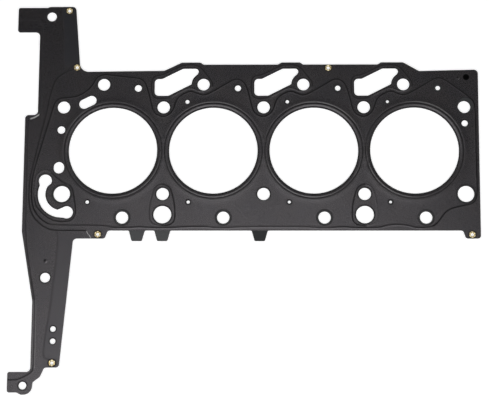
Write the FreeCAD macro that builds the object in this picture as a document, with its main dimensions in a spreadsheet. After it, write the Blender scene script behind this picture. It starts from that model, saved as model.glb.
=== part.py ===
import FreeCAD, Part
import math
import os
import Sketcher

# A cylinder head gasket of two steel sheets held together by six hollow eyelets.
# It lies flat: X runs along the row of bores, Y towards the port side, Z up.
# The origin is on the axis of the first bore, at the underside of the lower layer.

SIZES = {
    # sheets, from the bottom up
    "lower_thickness": 0.7,
    "top_thickness": 0.3,
    "bead_height": 0.25,
    "crest_width": 0.8,
    # row of bores
    "bore_count": 4,
    "bore_radius": 43.8,
    "bore_bridge": 11.9,
    "bore_margin": 0.6,
    "bore_bead_inner": 1.8,
    "bore_bead_width": 2.9,
    "main_bead_width": 2.2,
    # head bolts stand in two rows, half a pitch out from the bores
    "bolt_row": 44.2,
    "bolt_radius": 6.2,
    "bolt_margin": 0.5,
    "dowel_radius": 8.1,
    "dowel_margin": 1.1,
    "corner_shift": 1.6,
    # slots and ports are this much wider in the top layer
    "slot_margin": 0.4,
    # thickness teeth of the lower layer
    "tooth_tip": 10.0,
    "tooth_root": 15.8,
    "tooth_depth": 10.5,
    "tooth_round": 1.5,
    # eyelets
    "eyelet_flange": 3.4,
    "eyelet_barrel": 2.6,
    "eyelet_bore": 2.0,
    "eyelet_lip": 0.3,
    "eyelet_clearance": 0.05,
    # how coarsely round stretches are cut into flats
    "bore_flats": 32,
    "hole_flats": 10,
    "small_flats": 8,
    "corner_flats": 3,
}

# Places along X are measured from one of these, in bore pitches from the first bore: the bolts to
# the left of the bores, the first bore, the bolts after it, the last bore, the bolts to its right.
ANCHORS = {
    "left": -0.5,
    "first": 0,
    "middle": 0.5,
    "second": 1,
    "last": SIZES["bore_count"] - 1,
    "right": SIZES["bore_count"] - 0.5,
}

# Rows of round openings: x and y of the first one from its anchor, its radius in the lower layer,
# how much wider the top layer is, how many there are and how many pitches lie between two.
ROWS = {
    "water_large": {"anchor": "middle", "x": 0, "y": -64.94, "radius": 9.2,
                    "margin": 0.5, "count": 2, "step": 2},
    "drain_upper": {"anchor": "first", "x": -10.18, "y": 67.67, "radius": 6.2,
                    "margin": 0.4, "count": 4, "step": 1},
    "drain_lower": {"anchor": "first", "x": 10.15, "y": -67.94, "radius": 6.3,
                    "margin": 1.4, "count": 4, "step": 1},
}

# Rows of metering holes. The lower layer's radius changes by a little from one bore to the next,
# and the top layer has the same radius, wide, at each of them.
METERING = {
    "meter_lower": {"anchor": "first", "x": -24.44, "y": -52.32, "radius": 2.3,
                    "change": -0.1, "wide": 2.8, "count": 4},
    "meter_upper": {"anchor": "first", "x": 24.12, "y": 63.83, "radius": 3.6,
                    "change": -0.4, "wide": 3.9, "count": 4},
    "meter_web": {"anchor": "second", "x": -26.14, "y": 49.86, "radius": 2.5,
                  "change": -0.25, "wide": 2.9, "count": 3},
}

# Single round holes.
HOLES = {
    "oil_feed": {"anchor": "left", "x": -2.05, "y": 21.0, "radius": 4.1, "margin": 0.4},
    "cover_upper": {"anchor": "left", "x": -14.35, "y": 138.8, "radius": 5.0, "margin": 0.4},
    "cover_lower": {"anchor": "left", "x": -14.25, "y": -127.8, "radius": 5.2, "margin": 0.4},
    "pin_upper": {"anchor": "left", "x": -5.25, "y": -178.3, "radius": 3.3, "margin": 0.3},
    "pin_lower": {"anchor": "left", "x": -5.25, "y": -190.3, "radius": 3.3, "margin": 0.3},
    "cover_foot": {"anchor": "left", "x": -33.25, "y": -233.3, "radius": 4.5, "margin": 0.4},
    "end_hole": {"anchor": "right", "x": 0.35, "y": 27.5, "radius": 3.5, "margin": 0.4},
}

# An opening of the top layer alone, closed from below by the lower layer.
WINDOW = {"window": {"anchor": "right", "x": 2.75, "y": 75.0, "radius": 3.0}}

# Slots with round ends, each turned about its own middle by an angle in degrees.
SLOTS = {
    "oval": {"anchor": "left", "x": -3.45, "y": -17.0, "length": 12.7, "width": 11.0, "turn": 90},
    "slot": {"anchor": "first", "x": -26.3, "y": 49.6, "length": 19.0, "width": 10.4, "turn": 26.5},
}

EYELETS = {
    "eyelet_1": {"anchor": "left", "x": 3.25, "y": 145.0},
    "eyelet_2": {"anchor": "left", "x": 12.25, "y": 85.6},
    "eyelet_3": {"anchor": "first", "x": -13.5, "y": -84.7},
    "eyelet_4": {"anchor": "last", "x": -84.7, "y": 84.9},
    "eyelet_5": {"anchor": "right", "x": 5.25, "y": -85.0},
    "eyelet_6": {"anchor": "left", "x": -5.45, "y": -211.4},
}


def cells():
    named = dict(SIZES)
    for table in (ROWS, METERING, HOLES, WINDOW, SLOTS, EYELETS):
        for name, values in table.items():
            for key, value in values.items():
                if key != "anchor":
                    named[f"{name}_{key}"] = value
    return named


def fill_sheet(doc):
    sheet = doc.addObject("Spreadsheet::Sheet", "Sizes")
    for row, (name, value) in enumerate(cells().items(), start=1):
        sheet.set(f"A{row}", name)
        sheet.set(f"B{row}", str(value))
        sheet.setAlias(f"B{row}", name)
    doc.recompute()
    return sheet


def spot(x, y):
    return FreeCAD.Vector(x, y, 0)


def bore_pitch():
    return 2 * SIZES["bore_radius"] + SIZES["bore_bridge"]


def anchor_x(name):
    return ANCHORS[name] * bore_pitch()


def arc(middle, radius, start, end, flats):
    """Points on an arc that turns from start to end, in degrees."""
    turns = [math.radians(start + (end - start) * step / flats) for step in range(flats + 1)]
    return [middle + spot(radius * math.cos(turn), radius * math.sin(turn)) for turn in turns]


def rounded(corners, flats):
    """A closed outline from corners (x, y, radius), each cut into so many flats per right angle."""
    points = []
    for index, (x, y, radius) in enumerate(corners):
        here = spot(x, y)
        if radius == 0:
            points.append(here)
            continue
        into = (here - spot(*corners[index - 1][:2])).normalize()
        out = (spot(*corners[(index + 1) % len(corners)][:2]) - here).normalize()
        turn = into.getAngle(out)
        left = 1 if into.cross(out).z > 0 else -1
        start = here - into * (radius * math.tan(turn / 2))
        middle = start + spot(-into.y, into.x) * (left * radius)
        count = max(1, round(flats * turn / math.radians(90)))
        first = math.degrees(math.atan2(start.y - middle.y, start.x - middle.x))
        points += arc(middle, radius, first, first + left * math.degrees(turn), count)
    return points


def widened(points, distance):
    """An outline that turns counter-clockwise, moved outwards by a distance."""
    moved = []
    for index, here in enumerate(points):
        into = (here - points[index - 1]).normalize()
        out = (points[(index + 1) % len(points)] - here).normalize()
        side = spot(into.y + out.y, -into.x - out.x)
        moved.append(here + side * (distance / (1 + into.dot(out))))
    return moved


def outline(teeth):
    """The sheets' common edge, clockwise from the upper arm, as corners (x, y, radius)."""
    pitch = bore_pitch()
    left, last, right = anchor_x("left"), anchor_x("last"), anchor_x("right")
    corners = [(left - 48.25, 148.2, 2), (left - 18.75, 148.2, 0), (left - 16.25, 149.2, 0)]
    corners += [(left + 9.85, 149.2, 4), (left + 15.65, 81.0, 9), (pitch / 2 + 0.25, 82.0, 6)]
    for port in range(SIZES["bore_count"] - 1):
        middle, after = (port + 0.5) * pitch, (port + 1) * pitch
        if port > 0:
            corners += [(middle + 14.25, 88.3, 0)]
        corners += [(middle + 17.75, 90.5, 0), (after - 13.3, 90.5, 0), (after - 10.5, 88.3, 0)]
    corners[-2:] = [(last - 10.0, 90.5, 0)]
    corners += [(last + 5.8, 81.4, 3), (right + 14.65, 82.8, 4), (right + 13.55, -88.9, 3)]
    corners += [(right - 1.05, -88.9, 3), (right - 3.65, -80.9, 3)]
    if teeth:
        tip, root = SIZES["tooth_tip"] / 2, SIZES["tooth_root"] / 2
        end = -80.9 - SIZES["tooth_depth"]
        turn = SIZES["tooth_round"]
        for middle in (1.5 * pitch - 3.7, 0.5 * pitch + 0.2, 0.25 * pitch):
            corners += [(middle + root, -80.9, turn), (middle + tip, end, turn)]
            corners += [(middle - tip, end, turn), (middle - root, -80.9, turn)]
    corners += [(-3.6, -80.9, 3), (-6.6, -88.9, 3), (left + 12.25, -88.9, 4)]
    corners += [(left + 1.35, -215.8, 3.5), (left - 12.75, -215.8, 3), (left - 16.75, -224.8, 0)]
    corners += [(left - 23.65, -230.2, 0), (left - 24.45, -242.1, 8.6), (left - 34.75, -242.1, 3)]
    corners += [(left - 39.25, -239.9, 0), (left - 48.25, -239.9, 2), (left - 48.25, -220.1, 2)]
    corners += [(left - 26.15, -220.1, 4), (left - 26.15, -151.0, 0), (left - 38.35, -82.0, 0)]
    corners += [(left - 38.45, 36.4, 3.8), (left - 25.95, 36.4, 4), (left - 25.95, 122.5, 4.5)]
    corners += [(left - 48.25, 122.5, 2.5)]
    return rounded(corners, SIZES["corner_flats"])


def main_bead():
    """The bead that goes round all passages, counter-clockwise."""
    pitch = bore_pitch()
    left, last, right = anchor_x("left"), anchor_x("last"), anchor_x("right")
    line = [(left - 10.75, 44), (left - 6.75, 53.5), (left + 7.75, 55.3), (left + 16.75, 58)]
    line += [(-24, 65.5), (-18.5, 74.5), (-10, 79), (20, 75.2), (26, 74)]
    for number in range(SIZES["bore_count"] - 1):
        middle, after = (number + 0.5) * pitch, (number + 1) * pitch
        line += [(middle - 18.75, 69), (middle - 12.25, 48.5), (middle - 7.25, 38), (middle, 35.2)]
        line += [(middle + 7.25, 39), (middle + 12.25, 51.5), (after - 31.5, 58.2)]
        line += [(after - 21.5, 60.8), (after - 11.5, 56.8), (after - 1.5, 60.5)]
        line += [(after + 12.5, 68.5), (after + 24.5, 74.6)]
    line += [(right - 6.25, 63), (right + 6.75, 53), (right + 10.75, 44), (right + 11.05, -45)]
    line += [(right + 7.75, -53), (right - 15.25, -58.8), (last + 28, -63.5), (last + 20.5, -73.7)]
    line += [(last + 10.5, -77.7), (last - 1.5, -77.7), (last - 10.5, -75), (last - 23.5, -74.6)]
    line += [(last - 36.5, -77.1), (10, -77.4), (-6, -75.6), (left - 7.25, -75.3)]
    line += [(left - 17.25, -71.5), (left - 25.25, -63), (left - 29.35, -52.5)]
    line += [(left - 29.95, -40), (left - 28.75, -23), (left - 17.15, 20)]
    return [spot(x, y) for x, y in reversed(line)]


def port(margin):
    """One slanted port, counter-clockwise, seen from the bolts below it. The bore after it follows."""
    flats = SIZES["corner_flats"]
    after = bore_pitch() / 2
    corners = [(4.85, 56.0, 3), (after - 22.3, 66.9, 1.5)]
    side = arc(spot(after - 10.2, 67.7), 11.2, 178, 122, 3)
    corners += [(point.x, point.y, 0) for point in side]
    corners += [(after - 12.6, 84.6, 3.2), (18.75, 84.6, 3), (-1.95, 74.2, 0)]
    corners += [(-9.55, 74.2, 4), (-9.55, 56.0, 4)]
    return widened(rounded(corners, flats), margin)


def crescent(margin):
    """The slot round the dowel at the front left, counter-clockwise, as two arcs and two lobes."""
    dowel = spot(anchor_x("left"), -SIZES["bolt_row"])
    front = dowel + spot(5.2, -18.4)
    back = dowel + spot(-16.6, 13.4)
    points = arc(dowel, 24.0, 158, 258, 7) + arc(front, 6.3, 245, 485, 8)
    points += arc(dowel, 15.2, 256, 152, 6) + arc(back, 6.7, -25, 205, 8)
    return widened(points, margin)


def stadium(length, width, margin):
    """A slot with round ends along X, counter-clockwise, about its own middle."""
    x = length / 2 + margin
    y = width / 2 + margin
    radius = min(x, y) * 0.98
    corners = [(-x, -y, radius), (x, -y, radius), (x, y, radius), (-x, y, radius)]
    return rounded(corners, SIZES["corner_flats"])


# The punches and the embossing tools reach below and above everything they cut.
UNDER = "-Sizes.lower_thickness"
THROUGH = "3 * (Sizes.lower_thickness + Sizes.top_thickness) + Sizes.bead_height"


def move(item, x, y, z, turn=0):
    item.Placement.Rotation = FreeCAD.Rotation(FreeCAD.Vector(0, 0, 1), turn)
    for axis, expression in zip("xyz", (x, y, z)):
        item.setExpression("Placement.Base." + axis, expression)


def add_loop(sketch, points):
    first = sketch.GeometryCount
    ends = points[1:] + points[:1]
    sketch.addGeometry([Part.LineSegment(start, end) for start, end in zip(points, ends)], False)
    joins = []
    for index in range(len(points)):
        after = first + (index + 1) % len(points)
        joins.append(Sketcher.Constraint("Coincident", first + index, 2, after, 1))
    sketch.addConstraint(joins)


def add_polygon(sketch, radius, flats):
    """A regular polygon about the sketch's origin, whose flats touch the circle of that radius."""
    size = sketch.evalExpression(f"({radius}) / cos(180deg / {flats})")
    reach = getattr(size, "Value", size)
    first = sketch.GeometryCount
    add_loop(sketch, arc(spot(0, 0), reach, 0, 360 - 360 / flats, flats - 1))
    guide = sketch.addGeometry(Part.Circle(spot(0, 0), FreeCAD.Vector(0, 0, 1), reach), True)
    rules = [Sketcher.Constraint("Coincident", guide, 3, -1, 1)]
    rules += [Sketcher.Constraint("PointOnObject", first + flat, 1, guide) for flat in range(flats)]
    rules += [Sketcher.Constraint("Equal", first, first + flat) for flat in range(1, flats)]
    rules += [Sketcher.Constraint("PointOnObject", first, 1, -1)]
    sketch.addConstraint(rules)
    rule = sketch.addConstraint(Sketcher.Constraint("Radius", guide, reach))
    sketch.setExpression(f"Constraints[{rule}]", f"({radius}) / cos(180deg / {flats})")


def sketch_at(doc, name, x="0", y="0", z="0", turn=0):
    sketch = doc.addObject("Sketcher::SketchObject", name + "_sketch")
    move(sketch, x, y, z, turn)
    return sketch


def extruded(doc, name, sketch, height, taper="0", up=1):
    """A sketch drawn out along Z. Its walls lean in by the taper."""
    solid = doc.addObject("Part::Extrusion", name)
    solid.Base = sketch
    solid.DirMode = "Custom"
    solid.Dir = FreeCAD.Vector(0, 0, up)
    solid.Solid = True
    solid.setExpression("LengthFwd", height)
    solid.setExpression("TaperAngle", f"-({taper})")
    return solid


def round_bar(doc, name, x, y, z, height, radius, flats=None):
    """A cylinder, or a prism whose flats touch the circle of that radius."""
    if flats is None:
        bar = doc.addObject("Part::Cylinder", name)
        bar.setExpression("Radius", radius)
    else:
        bar = doc.addObject("Part::Prism", name)
        bar.Polygon = flats
        bar.setExpression("Circumradius", f"({radius}) / cos(180deg / {flats})")
    bar.setExpression("Height", height)
    move(bar, x, y, z)
    return bar


def punch(doc, name, x, y, radius, flats=None):
    return round_bar(doc, name, x, y, UNDER, THROUGH, radius, flats)


def shaped_punch(doc, name, points, x="0", y="0", turn=0):
    sketch = sketch_at(doc, name, x, y, UNDER, turn)
    add_loop(sketch, points)
    return extruded(doc, name, sketch, THROUGH)


def along(pitches):
    """An X so many bore pitches from the first bore."""
    return f"{pitches} * (2 * Sizes.bore_radius + Sizes.bore_bridge)"


def place(name, values, pitches=0):
    """X and Y of an opening or an eyelet, which move with its anchor."""
    return f"Sizes.{name}_x + " + along(ANCHORS[values["anchor"]] + pitches), f"Sizes.{name}_y"


def bolt_punches(doc, layer, top):
    """Head bolts and the two dowels, in the back row and the front row."""
    flats = SIZES["hole_flats"] if top else None
    bolt = "Sizes.bolt_radius" + (" + Sizes.bolt_margin" if top else "")
    dowel = "Sizes.dowel_radius" + (" + Sizes.dowel_margin" if top else "")
    last = SIZES["bore_count"]
    tools = []
    for number in range(last + 1):
        x = along(number - 0.5)
        radius = dowel if number in (0, last) else bolt
        front = f"{layer}_bolt_front_{number + 1}"
        tools.append(punch(doc, front, x, "-Sizes.bolt_row", radius, flats))
        back = f"{layer}_bolt_back_{number + 1}"
        if top and number == last:
            # the top layer leaves this corner free on the side away from the bores
            x, y = x + " + Sizes.corner_shift", "Sizes.bolt_row + Sizes.corner_shift"
            tools.append(punch(doc, back, x, y, "Sizes.dowel_radius", flats))
        else:
            tools.append(punch(doc, back, x, "Sizes.bolt_row", bolt, flats))
    return tools


def bore_punches(doc, layer, top):
    flats = SIZES["bore_flats"] if top else None
    radius = "Sizes.bore_radius" + (" + Sizes.bore_margin" if top else "")
    tools = []
    for bore in range(SIZES["bore_count"]):
        tools.append(punch(doc, f"{layer}_bore_{bore + 1}", along(bore), "0", radius, flats))
    return tools


def passage_punches(doc, layer, top):
    flats = SIZES["hole_flats"]
    small = SIZES["small_flats"]
    tools = []
    for name, values in ROWS.items():
        size = f"Sizes.{name}_radius" + (f" + Sizes.{name}_margin" if top else "")
        for number in range(values["count"]):
            x, y = place(name, values, number * values["step"])
            tools.append(punch(doc, f"{layer}_{name}_{number + 1}", x, y, size, flats))
    for name, values in METERING.items():
        for number in range(values["count"]):
            size = f"Sizes.{name}_radius + {number} * Sizes.{name}_change"
            size = f"Sizes.{name}_wide" if top else size
            x, y = place(name, values, number)
            tools.append(punch(doc, f"{layer}_{name}_{number + 1}", x, y, size, small))
    for name, values in HOLES.items():
        size = f"Sizes.{name}_radius" + (f" + Sizes.{name}_margin" if top else "")
        x, y = place(name, values)
        tools.append(punch(doc, f"{layer}_{name}", x, y, size, flats))
    if top:
        x, y = place("window", WINDOW["window"])
        tools.append(punch(doc, "top_window", x, y, "Sizes.window_radius", small))
    return tools


def eyelet_punches(doc, layer, top):
    """The holes for the eyelets. The lower layer is sunk round them, so that it lies flat."""
    small = SIZES["small_flats"]
    hole = "Sizes.eyelet_barrel + Sizes.eyelet_clearance"
    seat = "Sizes.eyelet_flange + Sizes.eyelet_clearance"
    deep = "Sizes.lower_thickness + Sizes.eyelet_lip"
    tools = []
    for name, values in EYELETS.items():
        x, y = place(name, values)
        tools.append(punch(doc, f"{layer}_for_{name}", x, y, hole, small))
        if not top:
            tools.append(round_bar(doc, f"{layer}_seat_{name}", x, y, UNDER, deep, seat, small))
    return tools


def shaped_punches(doc, layer, top):
    margin = SIZES["slot_margin"] if top else 0
    tools = []
    for number in range(SIZES["bore_count"] - 1):
        label = f"{layer}_port_{number + 1}"
        tools.append(shaped_punch(doc, label, port(margin), along(ANCHORS["middle"] + number)))
    tools.append(shaped_punch(doc, layer + "_crescent", crescent(margin)))
    for name, values in SLOTS.items():
        shape = stadium(values["length"], values["width"], margin)
        x, y = place(name, values)
        tools.append(shaped_punch(doc, f"{layer}_{name}", shape, x, y, values["turn"]))
    return tools


def all_punches(doc, layer, top):
    tools = bore_punches(doc, layer, top) + bolt_punches(doc, layer, top)
    tools += passage_punches(doc, layer, top) + eyelet_punches(doc, layer, top)
    return tools + shaped_punches(doc, layer, top)


def blank(doc, layer, bottom, thickness, teeth):
    """The sheet as cut out, before it is punched."""
    edge = sketch_at(doc, layer + "_edge", z=bottom)
    add_loop(edge, outline(teeth))
    return extruded(doc, layer + "_blank", edge, thickness)


def cut(doc, name, base, tools):
    gathered = doc.addObject("Part::Compound", name + "_tools")
    gathered.Links = tools
    result = doc.addObject("Part::Cut", name)
    result.Label = name
    result.Base = base
    result.Tool = gathered
    return result


def fuse(doc, name, pieces):
    result = doc.addObject("Part::MultiFuse", name)
    result.Shapes = pieces
    return result


def emboss(doc, name, draw, x, width):
    """The raised bead and the hollow beneath it, so that the sheet keeps its thickness."""
    lean = f"atan(({width} - Sizes.crest_width) / 2 / Sizes.bead_height)"
    levels = {"crest": "Sizes.lower_thickness + Sizes.top_thickness", "hollow": "Sizes.lower_thickness"}
    solids = []
    for side, level in levels.items():
        sketch = sketch_at(doc, f"{name}_{side}", x, z=level)
        draw(sketch)
        solids.append(extruded(doc, f"{name}_{side}", sketch, "Sizes.bead_height", lean))
    return solids


def draw_bore_bead(sketch):
    inner = "Sizes.bore_radius + Sizes.bore_bead_inner"
    add_polygon(sketch, inner + " + Sizes.bore_bead_width", SIZES["bore_flats"])
    add_polygon(sketch, inner, SIZES["bore_flats"])


def draw_main_bead(sketch):
    half = SIZES["main_bead_width"] / 2
    add_loop(sketch, widened(main_bead(), half))
    add_loop(sketch, widened(main_bead(), -half))


def make_lower_layer(doc):
    sheet = blank(doc, "lower", "0", "Sizes.lower_thickness", True)
    return cut(doc, "lower_layer", sheet, all_punches(doc, "lower", False))


def make_top_layer(doc):
    sheet = blank(doc, "top", "Sizes.lower_thickness", "Sizes.top_thickness", False)
    beads = [emboss(doc, "main_bead", draw_main_bead, "0", "Sizes.main_bead_width")]
    for bore in range(SIZES["bore_count"]):
        width = "Sizes.bore_bead_width"
        beads.append(emboss(doc, f"bore_bead_{bore + 1}", draw_bore_bead, along(bore), width))
    crests = [crest for crest, hollow in beads]
    hollows = [hollow for crest, hollow in beads]
    raised = fuse(doc, "top_raised", [sheet] + crests)
    return cut(doc, "top_layer", raised, hollows + all_punches(doc, "top", True))


def make_eyelet(doc, name):
    """A tube through both layers, with a lip turned out over the top one and one sunk below."""
    x, y = place(name, EYELETS[name])
    flats = SIZES["small_flats"]
    stack = "Sizes.lower_thickness + Sizes.top_thickness"
    lip = "Sizes.eyelet_lip"
    flange = "Sizes.eyelet_flange"
    pieces = [round_bar(doc, name + "_tube", x, y, "0", stack, "Sizes.eyelet_barrel", flats)]
    pieces.append(round_bar(doc, name + "_upper_lip", x, y, stack, lip, flange, flats))
    pieces.append(round_bar(doc, name + "_lower_lip", x, y, "0", lip, flange, flats))
    bore = punch(doc, name + "_bore", x, y, "Sizes.eyelet_bore", flats)
    return cut(doc, name, fuse(doc, name + "_body", pieces), [bore])


def check(doc, pieces):
    broken = [item.Name for item in doc.Objects if {"Invalid", "Error"} & set(item.State)]
    for piece in pieces:
        if piece.Shape.isNull() or not piece.Shape.isValid() or len(piece.Shape.Solids) != 1:
            broken.append(piece.Name)
    if broken:
        raise RuntimeError("These failed: " + ", ".join(broken))


def main():
    doc = FreeCAD.newDocument("head_gasket")
    fill_sheet(doc)
    pieces = [make_lower_layer(doc), make_top_layer(doc)]
    pieces += [make_eyelet(doc, name) for name in EYELETS]
    doc.recompute()
    check(doc, pieces)
    os.makedirs("parts", exist_ok=True)
    for piece in pieces:
        piece.Shape.exportStep(f"parts/{piece.Label}.step")
        box = piece.Shape.BoundBox
        sizes = (box.XLength, box.YLength, box.ZMin, box.ZMax)
        print(piece.Label, *(round(size, 2) for size in sizes))


main()
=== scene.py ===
import math
import bpy
import numpy as np
from mathutils import Matrix, Vector
from mathutils.geometry import delaunay_2d_cdt


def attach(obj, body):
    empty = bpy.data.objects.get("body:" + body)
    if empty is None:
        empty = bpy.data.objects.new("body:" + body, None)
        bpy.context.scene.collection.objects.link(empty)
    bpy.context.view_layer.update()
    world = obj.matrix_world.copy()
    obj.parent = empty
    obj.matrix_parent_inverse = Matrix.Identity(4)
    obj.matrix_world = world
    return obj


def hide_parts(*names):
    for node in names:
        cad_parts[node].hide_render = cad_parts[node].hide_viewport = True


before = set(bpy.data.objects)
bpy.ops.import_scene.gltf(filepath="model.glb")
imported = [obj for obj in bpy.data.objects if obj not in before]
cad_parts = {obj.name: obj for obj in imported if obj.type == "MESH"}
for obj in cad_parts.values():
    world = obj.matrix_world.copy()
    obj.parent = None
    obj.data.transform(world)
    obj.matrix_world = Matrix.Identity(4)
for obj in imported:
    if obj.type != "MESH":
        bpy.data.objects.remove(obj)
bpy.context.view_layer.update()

print("stage: frame loaded")

# Lengths are in millimetres until a mesh is made. X runs along the bores, Y towards the ports.
mm = 0.001
tiny = 1e-9           # under it a length or an area counts as nothing
pitch = 99.5          # from one bore to the next
boreCount = 4
boltRow = 44.2        # from the line of the bores to each row of bolt holes
lastBore = pitch * (boreCount - 1)

meshValues = {
    "circleDensity": 5,           # points to a millimetre of radius
    "circlePoints": (24, 144),    # the fewest and the most
    "edgeGap": 2.6,               # the widest gap between two points of an edge
    "edgeClear": 0.3,             # inner points stay this far from an edge
    "distanceReach": 3,           # distances are measured no further out
    "batch": 2000,                # points measured at a time
    "weld": 1e-5,                 # points nearer than this become one
    "sheetSharp": 35,             # degrees
    "eyeletSharp": 50,
}


def arcPoints(middle, radius, start, end, step=9):
    count = max(2, math.ceil(abs(end - start) / step))
    turns = np.radians(np.linspace(start, end, count + 1))
    x, y = middle
    return np.stack([x + radius * np.cos(turns), y + radius * np.sin(turns)], axis=1)


def circle(x, y, radius):
    least, most = meshValues["circlePoints"]
    count = int(np.clip(radius * meshValues["circleDensity"], least, most))
    turns = np.arange(count) * 2 * math.pi / count
    return np.stack([x + radius * np.cos(turns), y + radius * np.sin(turns)], axis=1)


# Each corner is x, y and the radius that rounds it.
def roundCorners(corners):
    points = []
    for index, (x, y, radius) in enumerate(corners):
        here = np.array([x, y])
        if radius == 0:
            points.append(here[None])
            continue
        before = np.array(corners[index - 1][:2])
        after = np.array(corners[(index + 1) % len(corners)][:2])
        into = (here - before) / np.linalg.norm(here - before)
        out = (after - here) / np.linalg.norm(after - here)
        turn = math.acos(np.clip(into @ out, -1, 1))
        left = 1 if into[0] * out[1] - into[1] * out[0] > 0 else -1
        start = here - into * radius * math.tan(turn / 2)
        middle = start + np.array([-into[1], into[0]]) * left * radius
        first = math.degrees(math.atan2(start[1] - middle[1], start[0] - middle[0]))
        points.append(arcPoints(middle, radius, first, first + left * math.degrees(turn)))
    return np.concatenate(points)


def counterClockwise(loop):
    x, y = loop[:, 0], loop[:, 1]
    area = np.sum(x * np.roll(y, -1) - np.roll(x, -1) * y)
    return loop if area > 0 else loop[::-1]


def normals(points, closed):
    if closed:
        along = np.roll(points, -1, axis=0) - np.roll(points, 1, axis=0)
    else:
        along = np.gradient(points, axis=0)
    along /= np.maximum(np.linalg.norm(along, axis=1, keepdims=True), tiny)
    return np.stack([along[:, 1], -along[:, 0]], axis=1)


def widened(loop, distance):
    return loop + normals(loop, True) * distance


# The same loop with points no further apart than the gap.
def spread(loop, gap):
    parts = []
    for start, end in zip(loop, np.roll(loop, -1, axis=0)):
        count = max(1, math.ceil(np.linalg.norm(end - start) / gap))
        steps = np.arange(count)[:, None] / count
        parts.append(start + (end - start) * steps)
    return np.concatenate(parts)


# Rounds the corners of a line by cutting a quarter off both ends of every stretch.
def smoothed(line, times=3):
    points = np.array(line, float)
    for _ in range(times):
        start, end = points[:-1], points[1:]
        near, far = 0.75 * start + 0.25 * end, 0.25 * start + 0.75 * end
        mixed = np.stack([near, far], axis=1).reshape(-1, 2)
        points = np.concatenate([points[:1], mixed, points[-1:]])
    return points


# The line again, with its points evenly spaced.
def stepped(line, gap):
    points = np.array(line, float)
    lengths = np.concatenate([[0], np.cumsum(np.linalg.norm(np.diff(points, axis=0), axis=1))])
    count = max(2, round(lengths[-1] / gap))
    places = np.linspace(0, lengths[-1], count + 1)
    return np.stack([np.interp(places, lengths, points[:, axis]) for axis in (0, 1)], axis=1)


# How far each point is from the line. Points beyond the reach of its box are left at infinity.
def distanceTo(points, line, closed):
    best = np.full(len(points), np.inf)
    reach, batch = meshValues["distanceReach"], meshValues["batch"]
    low, high = line.min(axis=0) - reach, line.max(axis=0) + reach
    near = np.flatnonzero(np.all((points >= low) & (points <= high), axis=1))
    starts = line if closed else line[:-1]
    ends = np.roll(line, -1, axis=0) if closed else line[1:]
    along = (ends - starts)[None]
    squares = np.maximum(np.sum(along ** 2, axis=2), tiny)
    for first in range(0, len(near), batch):
        chosen = near[first:first + batch]
        offset = points[chosen][:, None] - starts[None]
        share = np.clip(np.sum(offset * along, axis=2) / squares, 0, 1)
        gap = np.linalg.norm(offset - along * share[..., None], axis=2)
        best[chosen] = gap.min(axis=1)
    return best


def inside(points, loop):
    found = np.zeros(len(points), bool)
    low, high = loop.min(axis=0), loop.max(axis=0)
    near = np.flatnonzero(np.all((points >= low) & (points <= high), axis=1))
    x1, y1 = loop[:, 0], loop[:, 1]
    x2, y2 = np.roll(x1, -1), np.roll(y1, -1)
    batch = meshValues["batch"]
    for first in range(0, len(near), batch):
        chosen = near[first:first + batch]
        x, y = points[chosen, 0][:, None], points[chosen, 1][:, None]
        spans = (y1[None] > y) != (y2[None] > y)
        with np.errstate(divide="ignore", invalid="ignore"):
            cross = (x2 - x1)[None] * (y - y1[None]) / (y2 - y1)[None] + x1[None]
        found[chosen] = np.sum(spans & (x < cross), axis=1) % 2 == 1
    return found


sheetValues = {
    "lowerThickness": 0.7,
    "topThickness": 0.3,
    "boreRadius": 43.8,
    "boreMargin": 0.6,
    "boltRadius": 6.2,
    "boltMargin": 0.5,
    "dowelRadius": 8.1,
    "dowelMargin": 1.1,
    "cornerShift": 1.6,           # of the top layer's last back opening, outwards
    "slotMargin": 0.4,
    "frontEdge": -80.9,
    "plateEdge": -88.9,           # the two corner plates stand further out
    "portEdge": 90.5,
    "portDip": 88.3,
    "toothTip": 10.0,
    "toothRoot": 15.8,
    "toothDepth": 10.5,
    "toothRound": 1.5,
    "toothMiddles": (1.5 * pitch - 3.7, 0.5 * pitch + 0.2, 0.25 * pitch),
    "bareTooth": (146.05, 9, -79),   # the matt one: its middle, half its width and its back
    "seatStep": 0.01,             # half the width of the wall round an eyelet's seat
}


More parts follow.
